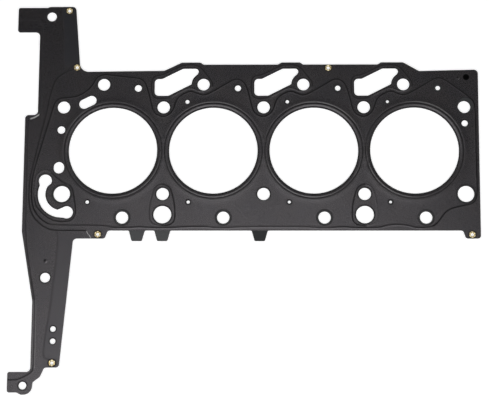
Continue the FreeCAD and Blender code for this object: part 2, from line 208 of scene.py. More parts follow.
def sheetEdge(teeth):
    left, right = -pitch / 2, lastBore + pitch / 2
    front, plate = sheetValues["frontEdge"], sheetValues["plateEdge"]
    port, dip = sheetValues["portEdge"], sheetValues["portDip"]
    corners = [(left - 48.25, 148.2, 2), (left - 18.75, 148.2, 0), (left - 16.25, 149.2, 0)]
    corners += [(left + 9.85, 149.2, 4), (left + 15.65, 81.0, 9), (pitch / 2 + 0.25, 82.0, 6)]
    for number in range(boreCount - 1):
        middle, after = (number + 0.5) * pitch, (number + 1) * pitch
        if number > 0:
            corners += [(middle + 14.25, dip, 2)]
        corners += [(middle + 17.75, port, 3), (after - 13.3, port, 3), (after - 10.5, dip, 2)]
    corners[-2:] = [(lastBore - 10.0, port, 5)]   # the last port ends in one wide corner
    corners += [(lastBore + 5.8, 81.4, 3), (right + 14.65, 82.8, 4), (right + 13.55, plate, 3)]
    corners += [(right - 1.05, plate, 3), (right - 3.65, front, 3)]
    if teeth:
        tip, root = sheetValues["toothTip"] / 2, sheetValues["toothRoot"] / 2
        end = front - sheetValues["toothDepth"]
        turn = sheetValues["toothRound"]
        for middle in sheetValues["toothMiddles"]:
            corners += [(middle + root, front, turn), (middle + tip, end, turn)]
            corners += [(middle - tip, end, turn), (middle - root, front, turn)]
    corners += [(-3.6, front, 3), (-6.6, plate, 3), (left + 12.25, plate, 4)]
    corners += [(left + 1.35, -215.8, 3.5), (left - 12.75, -215.8, 3), (left - 16.75, -224.8, 2)]
    corners += [(left - 23.65, -230.2, 2), (left - 24.45, -242.1, 8.6), (left - 34.75, -242.1, 3)]
    corners += [(left - 39.25, -239.9, 0), (left - 48.25, -239.9, 2), (left - 48.25, -220.1, 2)]
    corners += [(left - 26.15, -220.1, 4), (left - 26.15, -151.0, 0), (left - 38.35, -82.0, 0)]
    corners += [(left - 38.45, 36.4, 3.8), (left - 25.95, 36.4, 4), (left - 25.95, 122.5, 4.5)]
    corners += [(left - 48.25, 122.5, 2.5)]
    return counterClockwise(roundCorners(corners))


def portLoop(start, margin):
    corners = [(54.3, 56.1, 3), (76.6, 67.6, 1.5)]
    corners += [(x, y, 0) for x, y in arcPoints((89.3, 67.7), 12.0, 178, 122)]
    corners += [(86.7, 84.3, 3.2), (68.7, 84.2, 3), (47.9, 73.6, 4)]
    corners += [(40.5, 73.6, 4), (40.5, 56.1, 4)]
    return widened(roundCorners(corners), margin) + np.array([start, 0])


def crescentLoop(margin):
    dowel = np.array([-pitch / 2, -boltRow])
    front, back = dowel + (5.2, -18.4), dowel + (-16.6, 13.4)
    parts = [arcPoints(dowel, 23.7, 158, 258), arcPoints(front, 6.2, 245, 485)]
    parts += [arcPoints(dowel, 16.2, 256, 152), arcPoints(back, 6.4, -25, 205)]
    return widened(np.concatenate(parts), margin)


def slotLoop(x, y, length, width, turn, margin):
    reach, radius = (length - width) / 2, width / 2 + margin
    right, left = arcPoints((reach, 0), radius, -90, 90), arcPoints((-reach, 0), radius, 90, 270)
    loop = np.concatenate([right, left])
    turn = math.radians(turn)
    spin = np.array([[math.cos(turn), math.sin(turn)], [-math.sin(turn), math.cos(turn)]])
    return loop @ spin + (x, y)


# name: x and y of the first, radius below, how much wider above, count, pitches between them
roundOpenings = {
    "waterLarge": (49.75, -64.94, 8.8, 0.5, 2, 2),
    "drainUpper": (-10.18, 67.67, 6.1, 0.4, 4, 1),
    "drainLower": (10.15, -67.94, 6.1, 1.4, 4, 1),
    "oilFeed": (-51.8, 21.0, 3.85, 0.4, 1, 0),
    "coverUpper": (-64.1, 138.8, 4.75, 0.4, 1, 0),
    "coverLower": (-64.0, -127.8, 4.85, 0.4, 1, 0),
    "pinUpper": (-55.0, -178.3, 2.75, 0.3, 1, 0),
    "pinLower": (-55.0, -190.3, 2.75, 0.3, 1, 0),
    "coverFoot": (-83.0, -233.3, 3.75, 0.4, 1, 0),
    "endHole": (348.6, 27.5, 3.15, 0.4, 1, 0),
}

# name: x and y of the first, radius below, its change per bore, radius above, count
meteringHoles = {
    "meterLower": (-24.44, -52.32, 1.8, -0.13, 2.2, 4),
    "meterUpper": (24.12, 63.83, 3.5, -0.4, 3.9, 4),
    "meterWeb": (73.36, 49.86, 2.05, -0.28, 2.4, 3),
}

eyeletPlaces = {
    "eyelet_1": (-46.5, 145.0),
    "eyelet_2": (-37.5, 85.6),
    "eyelet_3": (-13.5, -84.7),
    "eyelet_4": (213.8, 84.9),
    "eyelet_5": (353.5, -85.0),
    "eyelet_6": (-55.2, -211.4),
}

# x, y, length, width and turn in degrees
slots = [(-53.3, -17.5, 11.7, 10.2, 90), (-26.0, 49.5, 18.0, 9.8, 26.5)]

# An opening of the top layer alone. Under it the lower layer is painted black as shade.
window = {
    "place": (351.0, 75.0),
    "radius": 3.0,
    "coveredMargin": 0.1,
    "rings": (-1.5, 0, 0.4),      # points of the lower layer, this far from its edge
}


def boltLoops(top):
    bolt = sheetValues["boltRadius"] + (sheetValues["boltMargin"] if top else 0)
    dowel = sheetValues["dowelRadius"] + (sheetValues["dowelMargin"] if top else 0)
    shift = sheetValues["cornerShift"]
    loops = []
    for number in range(boreCount + 1):
        x = (number - 0.5) * pitch
        loops.append(circle(x, -boltRow, dowel if number in (0, boreCount) else bolt))
        if top and number == boreCount:
            loops.append(circle(x + shift, boltRow + shift, sheetValues["dowelRadius"]))
        else:
            loops.append(circle(x, boltRow, bolt))
    return loops


def openingLoops(top):
    boreRadius = sheetValues["boreRadius"] + (sheetValues["boreMargin"] if top else 0)
    margin = sheetValues["slotMargin"] if top else 0
    loops = [circle(bore * pitch, 0, boreRadius) for bore in range(boreCount)]
    loops += boltLoops(top)
    for x, y, radius, wider, count, step in roundOpenings.values():
        for number in range(count):
            loops.append(circle(x + number * step * pitch, y, radius + (wider if top else 0)))
    for x, y, radius, change, above, count in meteringHoles.values():
        for number in range(count):
            loops.append(circle(x + number * pitch, y, above if top else radius + change * number))
    for x, y in eyeletPlaces.values():
        loops.append(circle(x, y, eyeletValues["barrel"] + eyeletValues["clearance"]))
    loops += [portLoop(number * pitch, margin) for number in range(boreCount - 1)]
    loops.append(crescentLoop(margin))
    loops += [slotLoop(*slot, margin) for slot in slots]
    if top:
        loops.append(circle(*window["place"], window["radius"]))
    return loops


beadValues = {
    "gap": 2.2,                   # between two points along a line
    "rows": (0, 0.3, 0.6, 0.95, 1.5),   # how far beside it there are more points
    "mainHeight": 0.07,
    "mainWidth": 1.15,            # from the crest to the foot
    "lineHeight": 0.05,
    "lineWidth": 1.0,
    "ridgeHeight": 0.06,          # a ridge has no dark crease
    "faintHeight": 0.03,
    "armWidth": 1.2,
    "frontRidge": (0.8, 0.08, 0.8),   # how far in front of the bead, its height and its width
    "foldHeight": 0.01,
    # the painted shade in a crease: its half-width and how sharply it fades
    "creaseWidth": 0.95,
    "creaseSlope": 1.4,
}


# The bead that seals the ports and the bores, from the front left round the back to the right.
def mainBack():
    line = [(-62.8, -74), (-68.3, -70.6), (-72.5, -66.4), (-76.7, -60.1), (-79.1, -52.5)]
    line += [(-79.7, -40), (-79.2, -27.5), (-76.1, -13.7), (-71.8, 2), (-66.9, 20), (-63.9, 31)]
    line += [(-61, 42), (-59.9, 46), (-58.6, 49.6), (-54, 53.7), (-50, 54), (-42, 54.6)]
    line += [(-35.8, 55.9), (-30.6, 58.6), (-25.4, 62.7), (-22.4, 66.1), (-19.9, 70.2)]
    line += [(-18, 74), (-15.8, 76.3), (-10, 78.3), (0, 77), (20, 74.7), (26.4, 74.1)]
    bay = [(31.8, 69.4), (35.7, 55.1), (37.7, 46.8), (39.3, 40.6), (42.4, 36.7), (50.2, 33.6)]
    bay += [(58.2, 38.9), (60.5, 45.3), (62.4, 51.8), (66.3, 56.2), (74, 60.1), (78, 60.7)]
    bay += [(86.1, 57.1), (90.3, 56.4), (98.2, 60.1), (112, 68.5), (122, 74.6)]
    for number in range(boreCount - 1):
        line += [(x + number * pitch, y) for x, y in bay]
    line += [(328, 74), (342.2, 63.2), (355.3, 53.4), (358.4, 49.4), (359.4, 42), (359, -20)]
    line += [(359.6, -45), (355.8, -54), (345, -56), (333, -58.9), (327, -63)]
    return line + [(320, -73), (316, -76)]


# Its front, in three stretches from the right.
def mainFront():
    right = [(316, -76), (311, -77.8), (297, -77.8), (290, -75.2), (275, -74.6), (265, -77)]
    right += [(262, -77.9), (236, -77.9), (228, -76.9), (216, -77.9)]
    middle = [(216, -77.9), (201, -77.9), (192, -76.9), (125, -76.9), (117, -77.9)]
    middle += [(102, -77.9), (94, -76.9)]
    left = [(94, -76.9), (70, -76.9), (62, -77.9), (35, -77.9), (28, -76.9), (20, -77.8)]
    return right, middle, left + [(0, -77.8), (-5, -75.7), (-57, -75.5), (-62.8, -74)]


def sideLine():
    line = [(-41, 83.5), (-50.3, 80.1), (-57.9, 73.9), (-60, 69.7), (-64.1, 55.8), (-66.4, 40.6)]
    line += [(-70.2, 24.5), (-76, -1.8), (-79.2, -17.6), (-81.6, -28), (-82.2, -44), (-81.5, -54)]
    line += [(-79.7, -62.2), (-75.8, -69), (-70.8, -73.9), (-66, -77.5), (-60.2, -80.1)]
    return line + [(-54.4, -80.9), (-25, -81)]


# Painted shade round the back of the port, a painted highlight along its front.
def portLine(start):
    line = [(98.2, 66), (98.4, 70), (93.9, 75.7), (87.1, 84.8), (81.9, 88), (70.4, 87.8)]
    line += [(66.4, 86.8), (47.7, 77.3), (41.8, 76.8), (39.2, 75.1), (37.6, 71.6), (37.3, 63)]
    return [(x + start, y) for x, y in line + [(38.4, 56), (42, 53), (50, 53), (57, 54.4)]]


def portRidge(start):
    line = [(57, 54.6), (69.4, 61.5), (75.6, 63.9), (79.8, 62.9), (84.5, 60.4), (89, 60.4)]
    return [(x + start, y) for x, y in line + [(93.6, 61.4), (97, 64.5)]]


def dowelLine():
    line = [(-61, -22.6), (-58.9, -24.1), (-56.4, -26.9), (-50.4, -31.4), (-46, -34)]
    line += [(-41.8, -35.5), (-39.8, -38), (-38.1, -44), (-36.9, -51), (-35.6, -59.3)]
    line += [(-35.7, -64.8), (-37.9, -69), (-41.2, -71.6), (-46, -72), (-54, -71.8)]
    line += [(-58.1, -70.5), (-63.1, -68), (-68, -64), (-72.9, -58.9), (-75.4, -54.6)]
    return line + [(-76.7, -47)]


def dowelRidge():
    return [(-76.7, -47), (-76.2, -33), (-75, -25), (-69.6, -20.4), (-65.7, -20.4), (-61, -22.4)]


# The drop round a bolt hole and a water hole, as its right and its left side.
def dropSides(x):
    half = [(0, -34.4), (5.5, -36), (8.6, -40.5), (10.8, -50), (12.3, -57), (12.6, -70)]
    half += [(9.8, -74.2), (5.2, -75.8), (0, -76)]
    return [(x + a, b) for a, b in half], [(x - a, b) for a, b in half]


def armUpper():
    line = [(-97, 135.8), (-79, 135.8), (-75.3, 134.8), (-73.6, 131.5), (-73, 120), (-73, 45)]
    line += [(-73.8, 38.6), (-78.6, 34.4), (-83.8, 31), (-84.9, 26), (-84.4, -60), (-84.2, -80)]
    return line + [(-82.6, -98), (-78, -126)]


def armLower():
    line = [(-78, -126), (-73.6, -150), (-73.2, -160), (-73.1, -216), (-73.6, -220)]
    return line + [(-79.8, -223.6), (-85.8, -226.8), (-89.2, -227.8), (-97, -227.8)]


flangeFold = [(-53.4, 146.5), (-52.6, 139), (-51.2, 125), (-50.6, 110), (-50.4, 90)]


def innerFold():
    line = [(-53, -83), (-51.9, -87.2), (-53.2, -109), (-56, -137), (-59.1, -168), (-60.8, -174.4)]
    return line + [(-63.4, -196), (-63.6, -203.6), (-62.4, -206.9), (-58.6, -208.1), (-52, -208.3)]


# Raised marks in the top layer: x, y, radius and height.
dimples = [(-64.0, -111.5, 2.0, 0.25), (343.0, 74.0, 1.8, 0.2)]

dimpleValues = {
    "rings": (0.2, 0.4, 0.6, 0.8, 1, 1.3, 1.8),   # shares of the radius
    "shadeShift": 0.6,            # the painted shade lies to the left and the back
    "shadeWidth": 1.6,
    "shadeSlope": 1.4,
}


# Each line as its points, its height, its half-width and how much painted shade lies in its crease.
def embossedLines():
    main, wide = beadValues["mainHeight"], beadValues["mainWidth"]
    small, narrow = beadValues["lineHeight"], beadValues["lineWidth"]
    ridge, faint = beadValues["ridgeHeight"], beadValues["faintHeight"]
    shift, high, slim = beadValues["frontRidge"]
    right, middle, left = mainFront()
    # the ridge runs along the front bead as far as the left corner plate
    frontRidge = [(x, y - shift) for x, y in right + middle + left if x > -1 and y < -74.5]
    lines = [(mainBack(), main, wide, 1.0), (frontRidge, high, slim, 0)]
    lines += [(right, faint, wide, 0.6), (middle, faint, wide, 0.3), (left, faint, wide, 0.55)]
    lines += [(sideLine(), small, narrow, 0.8), (dowelLine(), small, narrow, 0.8)]
    lines.append((dowelRidge(), ridge, narrow, 0))
    for number in range(boreCount - 1):
        lines.append((portLine(number * pitch), small, narrow, 0.8))
        lines.append((portRidge(number * pitch), ridge, narrow, 0))
    for x, darkRight, darkLeft in ((pitch / 2, 0.8, 0.3), (2.5 * pitch, 0, 0.8)):
        right, left = dropSides(x)
        lines += [(right, small, narrow, darkRight), (left, small, narrow, darkLeft)]
    lines += [(armUpper(), small, narrow, 0.5), (armLower(), faint, beadValues["armWidth"], 0.6)]
    lines.append((flangeFold, beadValues["foldHeight"], narrow, 0.2))
    lines.append((innerFold(), faint, narrow, 0.25))
    made = []
    for line, height, foot, creaseShade in lines:
        made.append((stepped(smoothed(line), beadValues["gap"]), height, foot, creaseShade))
    return made


# Radius, height and painted shade across the bead round each bore, from its opening outwards.
boreBead = [
    (44.4, 0.0, 0.3), (45.0, 0.03, 0.0), (45.7, 0.11, 0.0), (46.4, 0.18, 0.0), (47.0, 0.215, 0.0),
    (47.5, 0.215, 0.0), (48.0, 0.16, 0.35), (48.5, 0.08, 1.0), (48.9, 0.05, 0.4), (49.4, 0.08, 0.0),
    (50.0, 0.11, 0.0), (50.6, 0.11, 0.0), (52.0, 0.07, 0.0), (54.0, 0.02, 0.0), (55.5, 0.0, 0.0),
]


scuffAndHighlightValues = {
    "slope": 1.5,                 # how sharply each scuff and painted highlight ends at its sides
    "leastGap": 0.5,              # between two points along it
    "rows": (-1, -0.5, 0, 0.5, 1),   # shares of its half-width
    "glintSide": 60,              # a glint stays this near to the middle of its bore
    "scuffs": [[(-24.2, -82.0), (-23.2, -84.2)], [(-21.8, -85.6), (-20.4, -88.0)]],
    "scuffHalf": 0.4,
    "step": [(-82.3, 32.6), (-79, 33.8), (-75, 36.2)],   # a painted highlight along the step of the left edge
    "stepHalf": 0.9,
    "arm": ((-1.3, 0.2), (1.2, 0.17)),   # painted highlights: how far beside the line of the lower arm, how much
    "armHalf": 0.55,
    "dowelRidge": (0.7, 0.05),    # half-width, how much
    "portRidge": (0.6, 0.07),
    "boltArc": (7.4, 0.4, 0.1),   # radius, half-width, how much
    "dimpleArc": (0.8, 0.4, 0.15),
}


# Where the coat is painted lighter, as real scuffs and as painted highlights along ridges, a step,
# bolt arcs and dimples: the points, the half-width and how much.
def scuffAndHighlightLines():
    lines = [(line, scuffAndHighlightValues["scuffHalf"], 1) for line in scuffAndHighlightValues["scuffs"]]
    for shift, share in scuffAndHighlightValues["arm"]:
        lines.append(([(x + shift, y) for x, y in armLower()[1:4]], scuffAndHighlightValues["armHalf"], share))
    lines.append((scuffAndHighlightValues["step"], scuffAndHighlightValues["stepHalf"], 1))
    lines.append((smoothed(dowelRidge()), *scuffAndHighlightValues["dowelRidge"]))
    for number in range(boreCount - 1):
        lines.append((smoothed(portRidge(number * pitch)), *scuffAndHighlightValues["portRidge"]))
    radius, half, share = scuffAndHighlightValues["boltArc"]
    for number in range(1, boreCount):
        bolt = ((number - 0.5) * pitch, -boltRow)
        lines.append((arcPoints(bolt, radius, 215, 325), half, share))
    part, half, share = scuffAndHighlightValues["dimpleArc"]
    for x, y, radius, _ in dimples:
        lines.append((arcPoints((x, y), radius * part, -90, 20, 20), half, share))
    return lines


foldValues = {
    "half": 0.5,                  # of the width in which the shade sets in
    "upperFrom": 89,              # the flange of the upper arm starts here
    "lowerTo": -87,
    "lowerRight": -30,
    "lowerShare": 0.5,
}


# Where the sheet beyond a fold looks darker.
def foldShade(points):
    x, y = points[:, 0], points[:, 1]
    values = foldValues
    upper, lower = np.array(flangeFold)[::-1], np.array(innerFold()[1:-3])[::-1]
    flange, arm = (
        np.clip((x - np.interp(y, fold[:, 1], fold[:, 0])) + values["half"], 0, 1)
        for fold in (upper, lower)
    )
    flange *= y > values["upperFrom"]
    arm *= (y < values["lowerTo"]) & (x < values["lowerRight"])
    return np.maximum(flange, values["lowerShare"] * arm)


# Painted shade beside the punched edges and painted shadow round the eyelets.
rimValues = {
    "width": 1.1,
    "slope": 1.5,
    "rows": (0.45, 1),            # shares of the width
    "edge": 0.4,                  # how much painted shade lies along the outer edge
    "edgeFront": -74,             # the outer edge has no rim in front of this
    "eyeletWidth": 1.2,
    "eyeletSlope": 1.6,
    "eyeletRings": (0, 0.45, 1.2),
}


# The extra points that the beads and the marks need.
def beadPoints(lines):
    rows = []
    for path, *_ in lines:
        across = normals(path, False)
        for reach in beadValues["rows"]:
            rows += [path + across * reach, path - across * reach]
    for x, y, radius, _ in dimples:
        rows += [circle(x, y, radius * share) for share in dimpleValues["rings"]]
    for x, y in eyeletPlaces.values():
        rings = [eyeletValues["flange"] + reach for reach in rimValues["eyeletRings"]]
        rows += [circle(x, y, ring)[::2] for ring in rings]
    for radius, *_ in boreBead[1:]:
        rows += [circle(bore * pitch, 0, radius) for bore in range(boreCount)]
    for line in (flangeFold, innerFold()):
        path = stepped(line, beadValues["gap"])
        rows += [path + (foldValues["half"], 0), path - (foldValues["half"], 0)]
    for line, half, _ in scuffAndHighlightLines():
        path = stepped(line, max(scuffAndHighlightValues["leastGap"], half))
        rows += [path + normals(path, False) * reach * half for reach in scuffAndHighlightValues["rows"]]
    return np.concatenate(rows)


def rimPoints(loops, edge):
    rows = []
    for share in rimValues["rows"]:
        reach = rimValues["width"] * share
        rows += [widened(loop, reach) for loop in loops]
        rows.append(widened(edge, -reach))
    return np.concatenate(rows)


# How far each point is from the middle of the nearest bore.
def boreSpans(points):
    column = np.clip(np.round(points[:, 0] / pitch), 0, boreCount - 1) * pitch
    return np.hypot(points[:, 0] - column, points[:, 1])


# A round crest that falls from 1 in the middle to 0 at a share of 1.
def swell(share):
    return 0.5 + 0.5 * np.cos(np.pi * np.clip(share, 0, 1))


# The height at each point, and the painted shade in the creases and on the dimples.
def embossing(points, lines):
    radii, heights, darks = (np.array(column) for column in zip(*boreBead))
    span = boreSpans(points)
    height = np.interp(span, radii, heights, right=0)
    creaseShade = np.interp(span, radii, darks, right=0)
    for path, rise, foot, dark in lines:
        gap = distanceTo(points, path, False)
        height = np.maximum(height, rise * swell(gap / foot))
        band = np.clip(beadValues["creaseSlope"] * (1 - gap / beadValues["creaseWidth"]), 0, 1)
        creaseShade = np.maximum(creaseShade, dark * band)
    for x, y, radius, rise in dimples:
        gap = np.hypot(points[:, 0] - x, points[:, 1] - y)
        height = np.maximum(height, rise * swell(gap / radius))
        # painted shade on the left and back side of each dimple
        shift, width = dimpleValues["shadeShift"], dimpleValues["shadeWidth"]
        gap = np.hypot(points[:, 0] - x + shift, points[:, 1] - y - shift)
        band = np.clip(dimpleValues["shadeSlope"] * (1 - gap / width), 0, 1)
        creaseShade = np.maximum(creaseShade, band)
    return height, creaseShade


# Painted highlights along the bore beads: bore, radius, half-width, middle and reach in degrees,
# share.
boreGlints = [
    (0, 47.1, 0.8, 310, 45, 0.1), (0, 49.1, 0.5, 135, 40, 0.13),
    (1, 46.3, 1.1, 90, 50, 0.11), (1, 49.5, 0.6, 90, 50, 0.2),
    (1, 47.1, 0.8, 275, 65, 0.15), (1, 50.1, 0.8, 270, 70, 0.11),
    (2, 46.3, 1.1, 78, 50, 0.15), (2, 49.5, 0.6, 75, 50, 0.3),
    (2, 47.2, 0.8, 245, 60, 0.2), (2, 50.1, 0.8, 250, 75, 0.11),
    (3, 46.4, 1.1, 50, 60, 0.12), (3, 49.9, 0.6, 65, 45, 0.26),
    (3, 47.2, 0.8, 232, 45, 0.2), (3, 50.0, 0.7, 240, 60, 0.1),
]


# Painted highlights along the bore beads.
def glinting(points):
    span = boreSpans(points)
    light = np.zeros(len(points))
    slope, side = scuffAndHighlightValues["slope"], scuffAndHighlightValues["glintSide"]
    for bore, radius, half, middle, reach, share in boreGlints:
        x = points[:, 0] - bore * pitch
        turn = np.degrees(np.arctan2(points[:, 1], x))
        off = np.abs((turn - middle + 180) % 360 - 180)
        along = np.clip(slope * (1 - off / reach), 0, 1) * (np.abs(x) < side)
        across = np.clip(slope * (1 - np.abs(span - radius) / half), 0, 1)
        light = np.maximum(light, share * along * across)
    return light


# Real scuffs, and painted highlights on the bore beads, ridges, a step, bolt arcs and dimples.
def scuffsAndHighlights(points):
    scuffAndGlint = glinting(points)
    for line, half, share in scuffAndHighlightLines():
        gap = distanceTo(points, np.array(line, float), False)
        scuffAndGlint = np.maximum(scuffAndGlint, share * np.clip(scuffAndHighlightValues["slope"] * (1 - gap / half), 0, 1))
    return scuffAndGlint


# Painted shade beside the punched edges, and painted shadow round the eyelets.
def rimShade(points, loops, edge):
    values = rimValues
    outer = values["edge"] * (points[:, 1] > values["edgeFront"])
    rim = np.zeros(len(points))
    for loop in loops + [edge]:
        gap = distanceTo(points, loop, True)
        most = outer if loop is edge else 1
        rim = np.maximum(rim, most * np.clip(values["slope"] * (1 - gap / values["width"]), 0, 1))
    for spot in eyeletPlaces.values():
        gap = np.linalg.norm(points - np.array(spot), axis=1) - eyeletValues["flange"]
        band = np.clip(values["eyeletSlope"] * (1 - gap / values["eyeletWidth"]), 0, 1)
        rim = np.maximum(rim, band)
    return rim


# A smooth piece with sharp edges above an angle. Each shade is a value at every point.
def newPiece(name, places, faces, sharp, shades):
    mesh = bpy.data.meshes.new(name)
    mesh.from_pydata(places.tolist(), [], faces)
    mesh.update()
    mesh.polygons.foreach_set("use_smooth", np.ones(len(mesh.polygons), bool))
    mesh.set_sharp_from_angle(angle=math.radians(sharp))
    for label, values in shades.items():
        layer = mesh.attributes.new(label, "FLOAT", "POINT")
        layer.data.foreach_set("value", values.astype(np.float32))
    piece = bpy.data.objects.new(name, mesh)
    bpy.context.scene.collection.objects.link(piece)
    print("stage:", name, len(mesh.vertices), "points,", len(mesh.polygons), "faces")
    return piece


# A closed sheet with the edge, the openings and the extra points. The surface gives its two faces.
def makeSheet(name, edge, loops, extra, surface):
    clear = meshValues["edgeClear"]
    keep = inside(extra, edge) & (distanceTo(extra, edge, True) > clear)
    for loop in loops:
        keep &= ~inside(extra, loop) & (distanceTo(extra, loop, True) > clear)
    extra = np.unique(np.round(extra[keep], 2), axis=0)
    points, edges = [], []
    for loop in [edge] + loops:
        first = sum(len(part) for part in points)
        points.append(loop)
        count = len(loop)
        edges += [(first + index, first + (index + 1) % count) for index in range(count)]
    points.append(extra)
    flat = [Vector(point) for point in np.concatenate(points)]
    made = delaunay_2d_cdt(flat, edges, [], 0, meshValues["weld"], False)
    corners = np.array([tuple(corner) for corner in made[0]])
    faces = np.array(made[2])
    middles = corners[faces].mean(axis=1)
    keep = inside(middles, edge)
    for loop in loops:
        keep &= ~inside(middles, loop)
    faces = faces[keep]
    a, b, c = (corners[faces[:, index]] for index in range(3))
    turn = (b[:, 0] - a[:, 0]) * (c[:, 1] - a[:, 1]) - (c[:, 0] - a[:, 0]) * (b[:, 1] - a[:, 1])
    faces, turn = faces[np.abs(turn) > tiny], turn[np.abs(turn) > tiny]
    faces[turn < 0] = faces[turn < 0][:, ::-1]
    used, faces = np.unique(faces, return_inverse=True)
    faces = faces.reshape(-1, 3)
    corners = corners[used]
    count = len(corners)
    top, bottom, attributes = surface(corners)
    places = np.concatenate([np.column_stack([corners, level]) for level in (top, bottom)]) * mm
    runs = np.concatenate([faces[:, [0, 1]], faces[:, [1, 2]], faces[:, [2, 0]]])
    known = set(map(tuple, runs))
    rim = [(first, second) for first, second in known if (second, first) not in known]
    walls = [(first, first + count, second + count, second) for first, second in sorted(rim)]
    everyFace = faces.tolist() + (faces[:, ::-1] + count).tolist() + walls
    shades = {label: np.concatenate([values, values]) for label, values in attributes.items()}
    return newPiece(name, places, everyFace, meshValues["sheetSharp"], shades)


def makeTopLayer():
    gap = meshValues["edgeGap"]
    edge = spread(sheetEdge(False), gap)
    loops = [spread(loop, gap) for loop in openingLoops(True)]
    lines = embossedLines()
    extra = np.concatenate([beadPoints(lines), rimPoints(loops, edge)])
    under = sheetValues["lowerThickness"]

    def surface(points):
        height, creaseShade = embossing(points, lines)
        bottom = under + height
        shades = {"creaseShade": creaseShade, "rim": rimShade(points, loops, edge)}
        shades.update({"fold": foldShade(points), "scuffAndHighlight": scuffsAndHighlights(points)})
        return bottom + sheetValues["topThickness"], bottom, shades

    return makeSheet("topLayer", edge, loops, extra, surface)


def makeLowerLayer():
    gap = meshValues["edgeGap"]
    edge = spread(sheetEdge(True), gap)
    loops = [spread(loop, gap) for loop in openingLoops(False)]
    seat, step = eyeletValues["flange"] + eyeletValues["clearance"], sheetValues["seatStep"]
    extra = [rimPoints(loops, edge)]
    for x, y in eyeletPlaces.values():
        extra += [circle(x, y, seat - step), circle(x, y, seat + step)]
    extra += [circle(*window["place"], window["radius"] + reach) for reach in window["rings"]]
    extra = np.concatenate(extra)
    thick = sheetValues["lowerThickness"]

    def surface(points):
        bottom = np.zeros(len(points))
        for spot in eyeletPlaces.values():
            sunk = np.linalg.norm(points - np.array(spot), axis=1) < seat
            bottom[sunk] = eyeletValues["lip"]
        middle, half, back = sheetValues["bareTooth"]
        bare = (np.abs(points[:, 0] - middle) < half) & (points[:, 1] < back)
        fromWindow = np.linalg.norm(points - np.array(window["place"]), axis=1)
        # the lower layer is painted black under the window, as shade
        windowShade = fromWindow < window["radius"] + window["coveredMargin"]
        shades = {"bare": bare * 1.0, "windowShade": windowShade * 1.0}
        shades["rim"] = rimShade(points, loops, edge)
        return np.full(len(points), thick), bottom, shades

    return makeSheet("lowerLayer", edge, loops, extra, surface)


eyeletValues = {
    "flange": 3.4,                # these three are radii
    "barrel": 2.6,
    "bore": 2.0,
    "lip": 0.3,                   # how thick each flange is
    "clearance": 0.05,
    "petals": 6,
    "petalDepth": 0.09,
    "splitFrom": 0.6,             # the higher, the narrower the splits
    # how much more painted shade the splits get
    "splitShade": 2,
    "steps": 48,
}


def makeEyelet(name, spot):
    values = eyeletValues
    stack = sheetValues["lowerThickness"] + sheetValues["topThickness"]
    top = stack + values["lip"]
    bore, barrel, flange = values["bore"], values["barrel"], values["flange"]
    # radius, height, how far a petal's split shows there and how much painted shade darkens the
    # brass
    profile = [(bore - 0.5, 0.03, 0, 0.3), (bore - 0.45, 0.1, 0.3, 0.1)]
    profile += [(bore - 0.15, 0.12, 0.5, 0), (bore, 0.3, 0, 0.6)]
    profile += [(bore, stack, 0, 0.4), (bore + 0.05, top - 0.12, 0.3, 0.3)]
    profile += [(bore + 0.2, top - 0.03, 0.6, 0.1), (bore + 0.5, top, 1, 0)]
    profile += [(flange - 0.6, top - 0.01, 1, 0), (flange - 0.35, top - 0.05, 0.8, 0.3)]
    profile += [(flange - 0.15, top - 0.1, 0.6, 1), (flange, stack + 0.12, 0.4, 1)]
    profile += [(flange - 0.03, stack, 0, 1), (barrel, stack, 0, 0), (barrel, values["lip"], 0, 0)]
    profile += [(flange - 0.03, values["lip"], 0, 0.5), (flange, 0.15, 0, 0.5)]
    profile += [(flange - 0.12, 0.02, 0, 0), (flange - 0.4, 0, 0, 0), (bore - 0.4, 0, 0, 0)]
    steps = values["steps"]
    turns = np.arange(steps) * 2 * math.pi / steps
    start = values["splitFrom"]
    split = np.clip(np.cos(turns * values["petals"]) - start, 0, 1) / (1 - start)
    points, shades = [], []
    for radius, height, share, shade in profile:
        level = height - values["petalDepth"] * share * split
        points.append(np.stack([radius * np.cos(turns), radius * np.sin(turns), level], axis=1))
        shades.append(np.clip(shade + values["splitShade"] * share * split, 0, 1))
    points = np.concatenate(points) + (*spot, 0)
    faces = []
    rings = len(profile)
    for ring in range(rings):
        after = (ring + 1) % rings
        for step in range(steps):
            ahead = (step + 1) % steps
            here, there = ring * steps, after * steps
            faces.append((there + step, there + ahead, here + ahead, here + step))
    shade = {"shade": np.concatenate(shades)}
    return newPiece(name, points * mm, faces, meshValues["eyeletSharp"], shade)


def newMaterial(name):
    material = bpy.data.materials.new(name)
    material.use_nodes = True
    nodes, links = material.node_tree.nodes, material.node_tree.links
    return material, nodes, links, nodes["Principled BSDF"]


bumpDistance = 0.0002   # metres, in every finish


# Wide patches and fine grain, placed in every finish with its own scales.
def makeCloudGroup():
    group = bpy.data.node_groups.new("coatClouds", "ShaderNodeTree")
    face = group.interface
    for label in ("Patch Scale", "Grain Scale"):
        face.new_socket(label, in_out="INPUT", socket_type="NodeSocketFloat")
    for label in ("Patches", "Grain"):
        face.new_socket(label, in_out="OUTPUT", socket_type="NodeSocketFloat")
    nodes, links = group.nodes, group.links
    enter, leave = nodes.new("NodeGroupInput"), nodes.new("NodeGroupOutput")
    spot = nodes.new("ShaderNodeTexCoord")
    for label, scale, detail in (("Patches", "Patch Scale", 5.0), ("Grain", "Grain Scale", 2.0)):
        noise = nodes.new("ShaderNodeTexNoise")
        noise.inputs["Detail"].default_value = detail
        links.new(spot.outputs["Object"], noise.inputs["Vector"])
        links.new(enter.outputs[scale], noise.inputs["Scale"])
        links.new(noise.outputs["Fac"], leave.inputs[label])
    return group


def colourSocket(mix, letter):
    return [socket for socket in mix.inputs if socket.identifier == letter + "_Color"][0]


